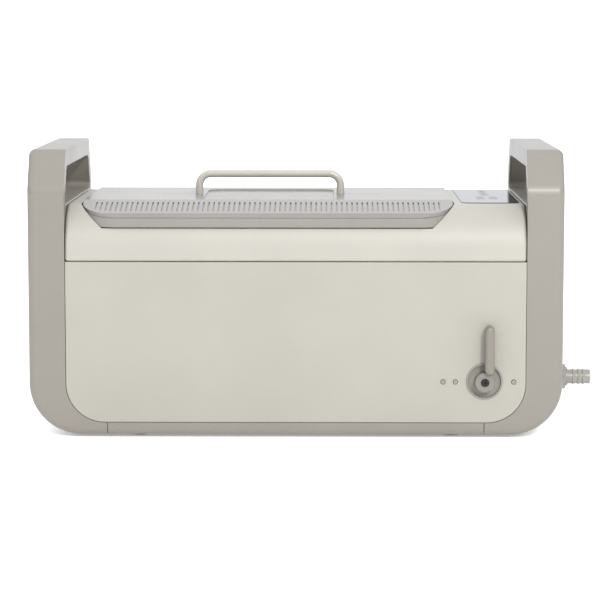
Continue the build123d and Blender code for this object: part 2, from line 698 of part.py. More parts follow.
def make_lid_trim():
    skirt = lid_outline_block(0, (LID_BOTTOM, RIM_TOP))
    skirt = fillet(skirt.faces().sort_by(Axis.Z)[0].edges(), 1.2)
    skirt = (skirt & rim_block(0.1)) - lid_outline_block(-WALL, (LID_BOTTOM - 1, RIM_TOP + 1))
    save("lid_skirt", skirt)
    plugs = []
    for side in (-1, 1):
        at = (LID_CENTRE_X + side * PLUG_OFFSET, HANDLE_Y)
        plugs.append(rod("Z", at, PLUG_RADIUS, LID_TOP - 2.9, LID_TOP - 0.2))
    save("lid_plugs", *plugs)
    liner = tank_plan(11.0, (226.0, LINER_PLATE_TOP))
    for place in LID_POSTS:
        liner -= rod("Z", place, 1.6, 225, 229)
    liner += skirt_tabs()
    save("lid_liner", liner)
    seal = tank_plan(9.5, (223.25, 226.0)) - tank_plan(1.5, (223.0, 227.0))
    save("lid_seal", seal)
    screws = []
    for place in LID_POSTS:
        screws.append(screw("Z", place, 3.0, 1.4, 1.4, 226.0, LINER_PLATE_TOP + 10))
    for place in handle_leg_places():
        screws.append(screw("Z", place, 3.6, 2.2, 2.0, HANDLE_FOOT - 2.5, HANDLE_FOOT + 9))
    save("lid_screws", *screws)


def skirt_tabs():
    """Tongues on the lid's liner that reach out and carry the skirt."""
    tabs = None
    for x in (-120.0, 0.0, 120.0):
        for side in (-1, 1):
            low, high = sorted((side * 118.0, side * (LID_DEPTH / 2 - WALL)))
            tab = block((LID_CENTRE_X + x - 8, LID_CENTRE_X + x + 8), (low, high),
                        (226.0, LINER_PLATE_TOP))
            tabs = tab if tabs is None else tabs + tab
    return tabs


def make_lid_handle():
    left, right = handle_leg_places()
    points = [
        (left[0], HANDLE_Y, HANDLE_FOOT),
        (left[0], HANDLE_Y, HANDLE_Z),
        (right[0], HANDLE_Y, HANDLE_Z),
        (right[0], HANDLE_Y, HANDLE_FOOT),
    ]
    path = FilletPolyline(*points, radius=HANDLE_BEND)
    section = Plane(origin=points[0], z_dir=(0, 0, 1)) * Circle(HANDLE_DIAMETER / 2)
    handle = sweep(section, path=path)
    for place in (left, right):
        handle -= rod("Z", place, 2.0 + THREAD_FIT, HANDLE_FOOT - 1, HANDLE_FOOT + 10)
    save("lid_handle", handle)


# ---- tank and basket ----------------------------------------------------------------------
def tank_plan(grow, z_span):
    """The tank's outline made larger by grow, as a slab."""
    x_span = (TANK_X[0] - grow, TANK_X[1] + grow)
    y_span = (-TANK_HALF_DEPTH - grow, TANK_HALF_DEPTH + grow)
    return rounded_block(x_span, y_span, z_span, TANK_CORNER + grow)


def make_tank():
    flange_top = FLANGE_BOTTOM + TANK_SHEET
    outer = tank_plan(0, (TANK_BOTTOM, flange_top))
    outer = fillet(outer.faces().sort_by(Axis.Z)[0].edges(), 12.0)
    inner = tank_plan(-TANK_SHEET, (TANK_BOTTOM + TANK_SHEET, flange_top + 5))
    inner = fillet(inner.faces().sort_by(Axis.Z)[0].edges(), 10.8)
    tank = outer + tank_plan(TANK_FLANGE, (FLANGE_BOTTOM, flange_top)) - inner
    tank -= rod("Z", (DRAIN_X, DRAIN_Y), 9.0, TANK_BOTTOM - 1, TANK_BOTTOM + 3)
    save("tank", tank)
    seal = tank_plan(11.0, (LEDGE_TOP, FLANGE_BOTTOM)) - tank_plan(3.0, (LEDGE_TOP - 1, 225))
    save("tank_seal", seal)
    pads = []
    for side in (-1, 1):
        near = side * TANK_HALF_DEPTH
        low, high = sorted((near, near + side * 2.0))
        pads.append(block((-150, 90), (low, high), (138, 192)))
    save("heater_pads", *pads)
    sensor = rod("Z", (LID_CENTRE_X, 0), 8.0, 110.0, TANK_BOTTOM)
    sensor += rod("Z", (LID_CENTRE_X, 0), 5.0, 104.0, 110.0)
    save("temperature_sensor", sensor)


def make_basket():
    x_span, z_span = BASKET_X, BASKET_Z
    y_span = (-BASKET_HALF_DEPTH, BASKET_HALF_DEPTH)
    outer = rounded_block(x_span, y_span, z_span, 18.0)
    outer = fillet(outer.faces().sort_by(Axis.Z)[0].edges(), 6.0)
    rim = rounded_block((x_span[0] - 3, x_span[1] + 3), (y_span[0] - 3, y_span[1] + 3),
                        (z_span[1] - 2.5, z_span[1]), 21.0)
    inner = rounded_block((x_span[0] + BASKET_SHEET, x_span[1] - BASKET_SHEET),
                          (y_span[0] + BASKET_SHEET, y_span[1] - BASKET_SHEET),
                          (z_span[0] + BASKET_SHEET, z_span[1] + 5), 18.0 - BASKET_SHEET)
    inner = fillet(inner.faces().sort_by(Axis.Z)[0].edges(), 4.5)
    basket = outer + rim - inner
    middle = (x_span[0] + x_span[1]) / 2
    cuts = []
    for column in range(-6, 7):
        x = middle + column * 23.0
        for row in range(-3, 4):
            y = row * 25.0
            cuts.append(block((x - 8, x + 8), (y - 3, y + 3), (z_span[0] - 5, z_span[0] + 5)))
        for z in (152.0, 169.0, 186.0):
            for side in (-1, 1):
                low, high = sorted((side * (BASKET_HALF_DEPTH - 5), side * (BASKET_HALF_DEPTH + 2)))
                cuts.append(block((x - 8, x + 8), (low, high), (z - 3, z + 3)))
    for row in range(-3, 4):
        y = row * 23.0
        for z in (152.0, 169.0, 186.0):
            for end, sign in ((x_span[0], 1), (x_span[1], -1)):
                low, high = sorted((end - sign * 2, end + sign * 5))
                cuts.append(block((low, high), (y - 8, y + 8), (z - 3, z + 3)))
    basket -= Compound(children=cuts)
    for x in (x_span[0] + 35, x_span[1] - 46):
        for y in (-70.0, 70.0):
            basket += rod("Z", (x, y), 5.0, TANK_BOTTOM + TANK_SHEET + 0.05, z_span[0] + 1)
    save("basket", basket)
    grips = []
    for end, sign in ((x_span[0], 1), (x_span[1], -1)):
        x = end + sign * 4.0
        points = [(x, -42, 178), (x, -42, 218), (x, 42, 218), (x, 42, 178)]
        path = FilletPolyline(*points, radius=9.0)
        section = Plane(origin=points[0], z_dir=(0, 0, 1)) * Circle(2.0)
        grips.append(sweep(section, path=path))
    save("basket_grips", *grips)


def make_transducers():
    fronts, rings, backs, bolts = [], [], [], []
    ring_top, ring_bottom, back_bottom = 94.0, 84.0, 64.0
    for x in TRANSDUCER_X:
        for y in TRANSDUCER_Y:
            front = Pos(x, y, (TANK_BOTTOM + ring_top) / 2) * Cone(20, 29, TANK_BOTTOM - ring_top)
            fronts.append(front - rod("Z", (x, y), 4.05, ring_top - 1, ring_top + 12))
            for low in (ring_bottom, ring_bottom + 5.1):
                ring = rod("Z", (x, y), 19.0, low, low + 4.8)
                rings.append(ring - rod("Z", (x, y), 7.0, low - 1, low + 6))
            back = rod("Z", (x, y), 20.0, back_bottom, ring_bottom - 0.1)
            backs.append(back - rod("Z", (x, y), 4.05, back_bottom - 1, ring_bottom + 1))
            bolt = hexagon("Z", (x, y), 13.0, back_bottom - 6, back_bottom)
            bolts.append(bolt + rod("Z", (x, y), 4.0, back_bottom, ring_top + 10))
    save("transducer_front_masses", *fronts)
    save("transducer_piezo_rings", *rings)
    save("transducer_back_masses", *backs)
    save("transducer_bolts", *bolts)


# ---- driver electronics -------------------------------------------------------------------
def make_driver():
    board_bottom = 14.0
    board_top = board_bottom + BOARD_THICKNESS
    board = block((-190, -20), (-75, 75), (board_bottom, board_top))
    posts = []
    for place in STANDOFF_PLACES:
        board -= rod("Z", place, 1.6, board_bottom - 1, board_top + 1)
        post = hexagon("Z", place, 6.0, FOOT_HEIGHT + WALL, board_bottom)
        posts.append(post - rod("Z", place, 1.4, 8.0, board_bottom + 1))
    save("driver_board", board)
    save("board_standoffs", *posts)
    sink = block((-178, -122), (-58, 58), (board_top, board_top + 4))
    for fin in range(8):
        x = -177.0 + 7.7 * fin
        sink += block((x, x + 1.8), (-58, 58), (board_top + 4, 46.0))
    save("board_heatsink", sink)
    core = block((-108, -62), (-55, -15), (board_top, 42.0))
    core += block((-102, -68), (-61, -9), (board_top + 5, 37.0))
    save("board_transformer", core)
    cans = []
    for x, y in ((-96.0, 20.0), (-66.0, 20.0), (-38.0, 20.0), (-38.0, -20.0)):
        can = rod("Z", (x, y), 11.0, board_top, 48.0)
        cans.append(fillet(can.edges().group_by(Axis.Z)[-1], 1.5))
    save("board_capacitors", *cans)


# ---- rear fittings ------------------------------------------------------------------------
def make_fan():
    half = FAN_SIZE / 2
    bore = half - 2
    frame = block((REAR_X - half, REAR_X + half), FAN_Y, (FAN_Z - half, FAN_Z + half))
    frame = fillet(frame.edges().filter_by(Axis.Y), 4.0)
    frame -= rod("Y", (REAR_X, FAN_Z), bore, FAN_Y[0] - 1, FAN_Y[1] + 1)
    boss_end = FAN_Y[0] + 2.6
    frame += rod("Y", (REAR_X, FAN_Z), 12.0, FAN_Y[0], boss_end)
    for index in range(3):
        turn = Pos(REAR_X, 0, FAN_Z) * Rot(0, 120 * index + 30, 0)
        frame += turn * block((10, bore + 1), (FAN_Y[0], FAN_Y[0] + 2.4), (-2, 2))
    frame -= rod("Y", (REAR_X, FAN_Z), 1.5, FAN_Y[0] + 0.6, boss_end + 1)
    save("fan_frame", frame)
    rotor = rod("Y", (REAR_X, FAN_Z), 13.0, boss_end + 0.6, FAN_Y[1] - 1.5)
    rotor = fillet(rotor.edges().filter_by(GeomType.CIRCLE).sort_by(Axis.Y)[-1], 2.0)
    rotor += rod("Y", (REAR_X, FAN_Z), 1.45, FAN_Y[0] + 0.8, boss_end + 1)
    middle = (boss_end + FAN_Y[1]) / 2
    for index in range(7):
        turn = Pos(REAR_X, middle, FAN_Z) * Rot(0, index * 360 / 7, 0)
        blade = Rot(38, 0, 0) * block((12, bore - 1.5), (-0.8, 0.8), (-7, 7))
        rotor += turn * blade
    save("fan_rotor", rotor)
    y_span = (REAR - WALL - 1.9, REAR - WALL - 0.1)
    guard = None
    for radius in (29.0, 21.0, 13.0):
        ring = rod("Y", (REAR_X, FAN_Z), radius + 0.9, *y_span)
        ring -= rod("Y", (REAR_X, FAN_Z), radius - 0.9, y_span[0] - 1, y_span[1] + 1)
        guard = ring if guard is None else guard + ring
    for angle in (45, 135):
        bar = Rot(0, angle, 0) * block((-29, 29), (0, 1.8), (-0.9, 0.9))
        guard += Pos(REAR_X, y_span[0], FAN_Z) * bar
    guard += rod("Y", (REAR_X, FAN_Z), 5.0, *y_span)
    save("fan_guard", guard)


def make_inlet():
    flange = block((REAR_X - 24, REAR_X + 24), (BAY_FLOOR, BAY_FLOOR + 2.5),
                   (INLET_Z - 13, INLET_Z + 13))
    flange = fillet(flange.edges().filter_by(Axis.Y), 4.0)
    body = block((REAR_X - 13.5, REAR_X + 13.5), (BAY_FLOOR - 18, BAY_FLOOR + 0.5),
                 (INLET_Z - 10, INLET_Z + 10))
    inlet = flange + body
    socket = block((REAR_X - 12, REAR_X + 12), (BAY_FLOOR - 15.5, BAY_FLOOR + 3),
                   (INLET_Z - 8.2, INLET_Z + 8.2))
    upper = socket.edges().filter_by(Axis.Y).group_by(Axis.Z)[-1]
    inlet -= chamfer(upper, 4.0)
    pins = []
    for x, z in ((-7.0, -1.2), (7.0, -1.2), (0.0, 2.8)):
        x_span = (REAR_X + x - 1, REAR_X + x + 1)
        z_span = (INLET_Z + z - 2, INLET_Z + z + 2)
        inlet -= block(x_span, (BAY_FLOOR - 19, BAY_FLOOR - 15), z_span)
        pin = block(x_span, (BAY_FLOOR - 24, BAY_FLOOR - 1), z_span)
        pins.append(pin)
    save("power_inlet", inlet)
    save("inlet_pins", *pins)


def make_switch():
    bezel = block((REAR_X - 8.5, REAR_X + 8.5), (BAY_FLOOR, BAY_FLOOR + 2),
                  (SWITCH_Z - 13, SWITCH_Z + 13))
    bezel = fillet(bezel.edges().filter_by(Axis.Y), 2.0)
    body = bezel + block((REAR_X - 6.5, REAR_X + 6.5), (BAY_FLOOR - 18, BAY_FLOOR + 0.5),
                         (SWITCH_Z - 11, SWITCH_Z + 11))
    body -= block((REAR_X - 5.4, REAR_X + 5.4), (BAY_FLOOR - 8, BAY_FLOOR + 3),
                  (SWITCH_Z - 9.8, SWITCH_Z + 9.8))
    pivot = (SWITCH_PIVOT_Y, SWITCH_Z)
    body -= rod("X", pivot, 1.0 + THREAD_FIT, REAR_X - 6.2, REAR_X + 6.2)
    save("switch_body", body)
    rise = 8.8 * math.tan(math.radians(SWITCH_TILT))
    points = [(-4.0, -5.0), (4.0, -5.0), (8.8, -1.5), (8.8, 2.0 + rise), (0, 2.0),
              (-8.8, 2.0 + rise), (-8.8, -1.5)]
    outline = make_face(Polyline(*[(height, along) for along, height in points], close=True))
    rocker = extrude(Plane.YZ * outline, 5.1, both=True)
    rocker += rod("X", (0, 0), 1.0, -6.0, 6.0)
    save("switch_rocker", Pos(REAR_X, *pivot) * Rot(-SWITCH_TILT, 0, 0) * rocker)


# ---- drain line ---------------------------------------------------------------------------
def make_valve():
    line = (VALVE_Y, VALVE_Z)
    stem_line = (VALVE_X, VALVE_Z)
    low_x, high_x = VALVE_X - 27.3, VALVE_X + 26.7
    body = rod("X", line, 14.0, low_x, high_x)
    body += rod("X", line, HOSE_BORE, low_x - 14, low_x)
    body += hexagon("X", line, 27.0, high_x - 9, high_x)
    body += rod("Y", stem_line, 12.0, FRONT + 8.5, VALVE_Y)
    body += rod("Y", stem_line, 7.5, FRONT + 2.5, FRONT + 9)
    body -= rod("X", line, WATERWAY_RADIUS, low_x - 15, high_x + 1)
    body -= rod("X", line, 9.6, VALVE_X - 13, VALVE_X + 13)
    body -= rod("X", line, BALL_RADIUS + 0.2, VALVE_X - 5.5, VALVE_X + 5.5)
    body -= rod("X", line, PIPE_RADIUS + THREAD_FIT, high_x - 12, high_x + 1)
    body -= rod("Y", stem_line, STEM_RADIUS + THREAD_FIT, FRONT + 1, VALVE_Y)
    save("valve_body", body)
    seats = []
    for side in (-1, 1):
        inner, step, outer = VALVE_X + side * 6.4, VALVE_X + side * 8.75, VALVE_X + side * 12.9
        ring = rod("X", line, 9.55, min(inner, outer), max(inner, outer))
        ring -= rod("X", line, WATERWAY_RADIUS, VALVE_X - 14, VALVE_X + 14)
        ring -= rod("X", line, 8.45, min(inner - 1, step), max(inner + 1, step))
        seats.append(ring)
    save("valve_seats", *seats)
    flat_y = VALVE_Y - 8.5
    ball = Pos(VALVE_X, VALVE_Y, VALVE_Z) * Sphere(BALL_RADIUS)
    ball -= block((VALVE_X - 12, VALVE_X + 12), (VALVE_Y - 12, flat_y), (VALVE_Z - 12, VALVE_Z + 12))
    ball -= rod("Z", (VALVE_X, VALVE_Y), WATERWAY_RADIUS, VALVE_Z - 12, VALVE_Z + 12)
    ball -= block((VALVE_X - 1.6, VALVE_X + 1.6), (flat_y - 1, flat_y + 2),
                  (VALVE_Z - 12, VALVE_Z + 12))
    save("valve_ball", ball)
    stem = rod("Y", stem_line, STEM_RADIUS, HUB_FRONT + 7, flat_y - 0.05)
    stem += block((VALVE_X - 1.5, VALVE_X + 1.5), (flat_y - 0.5, flat_y + 1.8),
                  (VALVE_Z - 3.5, VALVE_Z + 3.5))
    stem -= rod("Y", stem_line, 2.9 + THREAD_FIT, HUB_FRONT + 6, HUB_FRONT + 20)
    save("valve_stem", stem)
    nut = hexagon("Y", stem_line, 17.0, FRONT + 2.6, FRONT + 6.9)
    save("valve_nut", nut - rod("Y", stem_line, 7.5 + THREAD_FIT, FRONT, FRONT + 10))


def make_escutcheon():
    stem_line = (VALVE_X, VALVE_Z)
    cup = rod("Y", stem_line, DISH_RADIUS + 1.1, FRONT - 0.5, FRONT + 8.4)
    lip = rod("Y", stem_line, DISH_RADIUS + 2.0, FRONT - 1.2, FRONT)
    cup += fillet(lip.edges().filter_by(GeomType.CIRCLE).sort_by(Axis.Y)[0], 1.0)
    hollow = rod("Y", stem_line, DISH_RADIUS, FRONT - 2, FRONT + DISH_STEP)
    cup -= fillet(hollow.edges().filter_by(GeomType.CIRCLE).sort_by(Axis.Y)[-1], 1.0)
    cup -= rod("Y", stem_line, NUT_POCKET_RADIUS, FRONT, FRONT + 7.0)
    cup -= rod("Y", stem_line, 7.6, FRONT, FRONT + 10)
    save("valve_escutcheon", cup)


def make_lever():
    stem_line = (VALVE_X, VALVE_Z)
    hub = rod("Y", stem_line, HUB_RADIUS, HUB_FRONT, FRONT + 1.5)
    hub = fillet(hub.edges().filter_by(GeomType.CIRCLE).sort_by(Axis.Y)[0], 1.2)
    half = LEVER_WIDTH / 2
    bar_x = VALVE_X + LEVER_OFFSET
    bar_back = FRONT - 5.0
    low_z = VALVE_Z + 9.2
    bar = block((bar_x - half, bar_x + half), (LEVER_FRONT, bar_back), (low_z, LEVER_TIP_Z))
    bar = fillet(bar.edges().filter_by(Axis.Y), half - 0.05)
    bar = fillet(bar.faces().sort_by(Axis.Y)[0].edges(), LEVER_EDGE_RADIUS)
    web_half = half - 0.95
    web = block((bar_x - web_half, bar_x + web_half), (HUB_FRONT + 0.5, bar_back), (VALVE_Z, low_z + 8.0))
    lever = hub + bar + web
    head_seat = HUB_FRONT + SCREW_HEAD_DEPTH
    lever -= rod("Y", stem_line, 4.5, HUB_FRONT - 1, head_seat)
    lever -= rod("Y", stem_line, 3.1, HUB_FRONT, head_seat + 1.5)
    lever -= rod("Y", stem_line, STEM_RADIUS + THREAD_FIT, head_seat + 1.0, FRONT + 5)
    save("valve_lever", lever)
    cap = rod("Y", stem_line, 4.35, HUB_FRONT + 1.0, head_seat)
    cap += rod("Y", stem_line, 2.9, head_seat, HUB_FRONT + 18.0)
    cap -= hexagon("Y", stem_line, 4.0, HUB_FRONT, HUB_FRONT + 4.0)
    save("lever_screw", cap)


def make_valve_bracket():
    plate = block((148, 234), (FRONT + WALL, FRONT + WALL + 2), (41, 85))
    plate -= rod("Y", (VALVE_X, VALVE_Z), DISH_RADIUS + 1.3, FRONT, FRONT + 8)
    plate += block((152, 180), (FRONT + WALL, VALVE_Y + 14), (44.5, 46.5))
    screws = []
    for x in PANEL_SCREW_X:
        plate -= rod("Y", (x, PANEL_SCREW_Z), 1.55, FRONT, FRONT + 8)
        screws.append(screw("Y", (x, PANEL_SCREW_Z), 2.65, 1.7, 1.5, FRONT, FRONT + 8))
    save("valve_bracket", plate)
    save("panel_screws", *screws)


def make_drain_line():
    at = (DRAIN_X, DRAIN_Y)
    floor = TANK_BOTTOM + TANK_SHEET
    fitting = rod("Z", at, 14.0, floor, floor + 1.8) + rod("Z", at, 8.9, 104.5, floor)
    fitting += rod("Z", at, HOSE_BORE, 88.0, 104.5)
    fitting -= rod("Z", at, WATERWAY_RADIUS - 0.8, 87.0, floor + 3)
    save("drain_fitting", fitting)
    nut = hexagon("Z", at, 25.0, TANK_BOTTOM - 7, TANK_BOTTOM)
    save("drain_nut", nut - rod("Z", at, 8.9 + THREAD_FIT, TANK_BOTTOM - 8, TANK_BOTTOM + 1))
    hose_top = 104.4
    hose_end = VALVE_X - 27.4
    points = [
        (DRAIN_X, DRAIN_Y, hose_top),
        (DRAIN_X, DRAIN_Y, VALVE_Z),
        (DRAIN_X + 27.0, VALVE_Y, VALVE_Z),
        (hose_end, VALVE_Y, VALVE_Z),
    ]
    path = FilletPolyline(*points, radius=[15.0, 20.0])
    start = Plane(origin=points[0], z_dir=(0, 0, -1))
    ring = Circle(HOSE_RADIUS) - Circle(HOSE_BORE + 0.02)
    save("drain_hose", sweep(start * ring, path=path))
    clip_top = rod("Z", at, HOSE_RADIUS + 1.2, 93.0, 99.0) - rod("Z", at, HOSE_RADIUS + 0.02, 90, 102)
    line = (VALVE_Y, VALVE_Z)
    clip_side = rod("X", line, HOSE_RADIUS + 1.2, 162.0, 168.0)
    clip_side -= rod("X", line, HOSE_RADIUS + 0.02, 160.0, 170.0)
    save("hose_clips", clip_top, clip_side)


def make_outlet():
    line = (VALVE_Y, VALVE_Z)
    start = VALVE_X + OUTLET_START
    nut_end = HALF_WIDTH + OUTLET_NUT
    collar_end = nut_end + 2.0
    pipe = rod("X", line, PIPE_RADIUS, start, nut_end + 0.1)
    pipe += rod("X", line, PIPE_RADIUS + 0.6, nut_end + 0.1, collar_end)
    pipe += rod("X", line, BARB_RADIUS, collar_end, OUTLET_END)
    for ridge in RIDGE_X:
        middle = ridge + RIDGE_LENGTH / 2
        cone = Cone(RIDGE_RADIUS, BARB_RADIUS, RIDGE_LENGTH)
        pipe += Pos(middle, *line) * Rot(0, 90, 0) * cone
    pipe -= rod("X", line, OUTLET_BORE, start - 1, OUTLET_END + 1)
    save("outlet_pipe", pipe)
    nut = hexagon("X", line, 23.0, HALF_WIDTH, nut_end)
    save("outlet_nut", nut - rod("X", line, PIPE_RADIUS + THREAD_FIT, HALF_WIDTH - 1, nut_end + 1))


# ---- build and save -----------------------------------------------------------------------
make_side_frames()
make_front_panel()
make_rear_panel()
make_base_tray()
make_top_cover()
make_cover_screws()
make_feet()
make_controls()
make_lid_shell()
make_lid_trim()
make_lid_handle()
make_tank()
make_basket()
make_transducers()
make_driver()
make_fan()
make_inlet()
make_switch()
make_valve()
make_escutcheon()
make_lever()
make_valve_bracket()
make_drain_line()
make_outlet()

os.makedirs("parts", exist_ok=True)
for name, shape in nodes.items():
    export_step(shape, f"parts/{name}.step")
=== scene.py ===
"""Looks of the bench-top ultrasonic cleaner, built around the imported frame. Metres, Z up."""

import json
import math

import bmesh
import bpy
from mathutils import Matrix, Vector


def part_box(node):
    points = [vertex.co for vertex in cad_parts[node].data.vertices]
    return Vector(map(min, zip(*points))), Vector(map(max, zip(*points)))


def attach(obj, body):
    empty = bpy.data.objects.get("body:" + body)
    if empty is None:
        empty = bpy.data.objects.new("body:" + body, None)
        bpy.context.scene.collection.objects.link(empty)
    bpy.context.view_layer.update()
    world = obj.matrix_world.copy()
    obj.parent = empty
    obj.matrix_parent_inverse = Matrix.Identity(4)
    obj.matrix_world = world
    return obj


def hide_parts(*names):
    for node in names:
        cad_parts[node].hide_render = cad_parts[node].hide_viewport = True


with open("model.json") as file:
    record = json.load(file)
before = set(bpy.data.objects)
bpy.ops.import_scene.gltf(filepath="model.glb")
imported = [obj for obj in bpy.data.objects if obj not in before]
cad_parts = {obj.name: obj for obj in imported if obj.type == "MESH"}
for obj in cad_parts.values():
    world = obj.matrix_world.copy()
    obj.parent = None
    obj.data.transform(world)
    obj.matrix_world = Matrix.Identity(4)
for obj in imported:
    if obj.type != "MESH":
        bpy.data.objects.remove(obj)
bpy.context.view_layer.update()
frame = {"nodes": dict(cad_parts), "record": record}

MM = 0.001
KEY_POWER = 120.0
FRONT_LIGHT = 0.2
REAR_LIGHT = 1.12
TOP_LIGHT = 1.9
SIDE_LIGHT = 0.26
FLOOR_GLOW = 0.3
SCREW_SHADE_RING_RADIUS = 2.65 * MM
SCREW_STEP = 13.0 * MM
CAMERA_PLACE = (0.0217, -2.710, 0.437)
CAMERA_LENS = 148.24
CAMERA_DIP = 6.45
CAMERA_TURN = 0.73
KEY_PLACE = (0.993, -3.706, 1.858)
KEY_TARGET = (0.0, 0.0, 0.15)
KEY_SIZE = 0.42
PRINT_THICKNESS = 0.06 * MM
nodes = frame["nodes"]


# ---- node helpers -------------------------------------------------------------------------
class Graph:
    """A material's node tree with short calls for the nodes that the finishes use."""

    def __init__(self, name):
        self.material = bpy.data.materials.new(name)
        self.material.use_nodes = True
        self.tree = self.material.node_tree
        self.tree.nodes.clear()
        self.output = self.tree.nodes.new("ShaderNodeOutputMaterial")
        self.shader = self.tree.nodes.new("ShaderNodeBsdfPrincipled")
        self.link(self.shader.outputs["BSDF"], self.output.inputs["Surface"])
        self.coordinates = self.tree.nodes.new("ShaderNodeTexCoord").outputs["Object"]

    def link(self, source, target):
        self.tree.links.new(source, target)

    def put(self, target, value):
        """Sets an input from a number, a colour or another node's output."""
        if isinstance(value, bpy.types.NodeSocket):
            self.link(value, target)
        elif isinstance(value, tuple) and len(value) == 3 and target.type == "RGBA":
            target.default_value = (*value, 1.0)
        else:
            target.default_value = value

    def set(self, **values):
        for name, value in values.items():
            self.put(self.shader.inputs[name.replace("_", " ")], value)

    def noise(self, scale, detail=3.0, roughness=0.5, stretch=(1, 1, 1)):
        mapping = self.tree.nodes.new("ShaderNodeMapping")
        mapping.inputs["Scale"].default_value = stretch
        self.link(self.coordinates, mapping.inputs["Vector"])
        node = self.tree.nodes.new("ShaderNodeTexNoise")
        self.link(mapping.outputs["Vector"], node.inputs["Vector"])
        node.inputs["Scale"].default_value = scale
        node.inputs["Detail"].default_value = detail
        node.inputs["Roughness"].default_value = roughness
        return node.outputs["Fac"]

    def spread(self, value, low, high, to_low=0.0, to_high=1.0):
        node = self.tree.nodes.new("ShaderNodeMapRange")
        self.put(node.inputs["Value"], value)
        node.inputs["From Min"].default_value = low
        node.inputs["From Max"].default_value = high
        node.inputs["To Min"].default_value = to_low
        node.inputs["To Max"].default_value = to_high
        return node.outputs["Result"]

    def mix(self, factor, first, second):
        node = self.tree.nodes.new("ShaderNodeMix")
        node.data_type = "RGBA"
        self.put(node.inputs["Factor"], factor)
        self.put(node.inputs["A"], first)
        self.put(node.inputs["B"], second)
        return node.outputs["Result"]

    def math(self, operation, first, second=0.0):
        node = self.tree.nodes.new("ShaderNodeMath")
        node.operation = operation
        self.put(node.inputs[0], first)
        self.put(node.inputs[1], second)
        return node.outputs["Value"]

    def edge_mask(self, radius):
        """0 on flat faces and up to 1 on edges, from how far a rounded normal leaves the face."""
        bevel = self.tree.nodes.new("ShaderNodeBevel")
        bevel.samples = 4
        bevel.inputs["Radius"].default_value = radius
        geometry = self.tree.nodes.new("ShaderNodeNewGeometry")
        dot = self.tree.nodes.new("ShaderNodeVectorMath")
        dot.operation = "DOT_PRODUCT"
        self.link(bevel.outputs["Normal"], dot.inputs[0])
        self.link(geometry.outputs["Normal"], dot.inputs[1])
        return self.spread(dot.outputs["Value"], 0.98, 0.7)

    def cavity(self, reach):
        """0 in tight gaps and grooves, rising to 1 where nothing is near."""
        occlusion = self.tree.nodes.new("ShaderNodeAmbientOcclusion")
        occlusion.samples = 8
        occlusion.inputs["Distance"].default_value = reach
        return self.spread(occlusion.outputs["AO"], 0.35, 0.8)

    def bump(self, height, strength, distance, edge_radius=0.0):
        node = self.tree.nodes.new("ShaderNodeBump")
        node.inputs["Strength"].default_value = strength
        node.inputs["Distance"].default_value = distance
        self.link(height, node.inputs["Height"])
        if edge_radius > 0:
            bevel = self.tree.nodes.new("ShaderNodeBevel")
            bevel.samples = 4
            bevel.inputs["Radius"].default_value = edge_radius
            self.link(bevel.outputs["Normal"], node.inputs["Normal"])
        self.link(node.outputs["Normal"], self.shader.inputs["Normal"])


def moulded(name, colour, roughness=0.42, grain=0.25, grain_size=0.6 * MM, edge=0.4 * MM, coat=0.0,
            gap_shade=0.35, gloss=1.5):
    """Moulded plastic: spark-eroded grain, flow mottling, edges with a painted highlight and smoother
    roughness, and painted shade in the gaps.
    """
    g = Graph(name)
    flow = g.noise(7.0, 4.0, 0.6)
    fine = g.noise(1.0 / grain_size, 2.0, 0.6)
    darker = tuple(c * 0.955 for c in colour)
    lighter = tuple(min(c * 1.035, 1.0) for c in colour)
    tint = g.mix(g.spread(flow, 0.3, 0.7), darker, lighter)
    speckle = g.spread(fine, 0.35, 0.65, 0.0, 0.05)
    tint = g.mix(speckle, tint, tuple(c * 0.82 for c in colour))
    edge_highlight_and_polish = g.edge_mask(0.8 * MM)
    # Painted highlight: the colour lifts toward a lighter tint on rounded edges.
    tint = g.mix(g.math("MULTIPLY", edge_highlight_and_polish, 0.18), tint, tuple(min(c * 1.12, 1.0) for c in colour))
    # Painted shade: the colour darkens toward a shade tint in gaps and grooves, following the occlusion
    # mask.
    gap_shade_colour = tuple(c * f for c, f in zip(colour, (0.42, 0.39, 0.35)))
    gaps = g.math("SUBTRACT", 1.0, g.cavity(2.5 * MM))
    tint = g.mix(g.math("MULTIPLY", gaps, gap_shade), tint, gap_shade_colour)
    rough = g.spread(flow, 0.25, 0.75, roughness - 0.04, roughness + 0.05)
    rough = g.math("SUBTRACT", rough, g.math("MULTIPLY", edge_highlight_and_polish, 0.08))
    g.set(Base_Color=tint, Roughness=rough, Coat_Weight=coat, Coat_Roughness=0.2)
    g.put(g.shader.inputs["IOR"], gloss)
    g.bump(fine, grain, 0.06 * MM, edge)
    return g.material


def brushed(name, colour, roughness=0.3, along="X", metallic=1.0, strength=0.25):
    """Sheet or bar metal with a fine brushed grain along one axis."""
    stretch = {"X": (0.03, 1, 1), "Y": (1, 0.03, 1), "Z": (1, 1, 0.03)}[along]
    g = Graph(name)
    lines = g.noise(2600.0, 2.0, 0.5, stretch)
    cloud = g.noise(22.0, 3.0, 0.55)
    tint = g.mix(g.spread(lines, 0.3, 0.7), tuple(c * 0.86 for c in colour), colour)
    tint = g.mix(g.spread(cloud, 0.3, 0.7, 0.0, 0.12), tint, tuple(c * 0.8 for c in colour))
    g.set(Base_Color=tint, Metallic=metallic,
          Roughness=g.spread(lines, 0.25, 0.75, roughness - 0.07, roughness + 0.09))
    g.bump(lines, strength, 0.02 * MM, 0.25 * MM)
    return g.material


def rubbery(name, colour, roughness=0.62):
    g = Graph(name)
    fine = g.noise(1500.0, 3.0, 0.6)
    bloom = g.noise(40.0, 4.0, 0.6)
    tint = g.mix(g.spread(bloom, 0.35, 0.7, 0.0, 0.35), colour, tuple(c * 1.5 + 0.01 for c in colour))
    g.set(Base_Color=tint, Roughness=g.spread(bloom, 0.3, 0.7, roughness - 0.08, roughness + 0.1))
    g.bump(fine, 0.35, 0.05 * MM, 0.4 * MM)
    return g.material


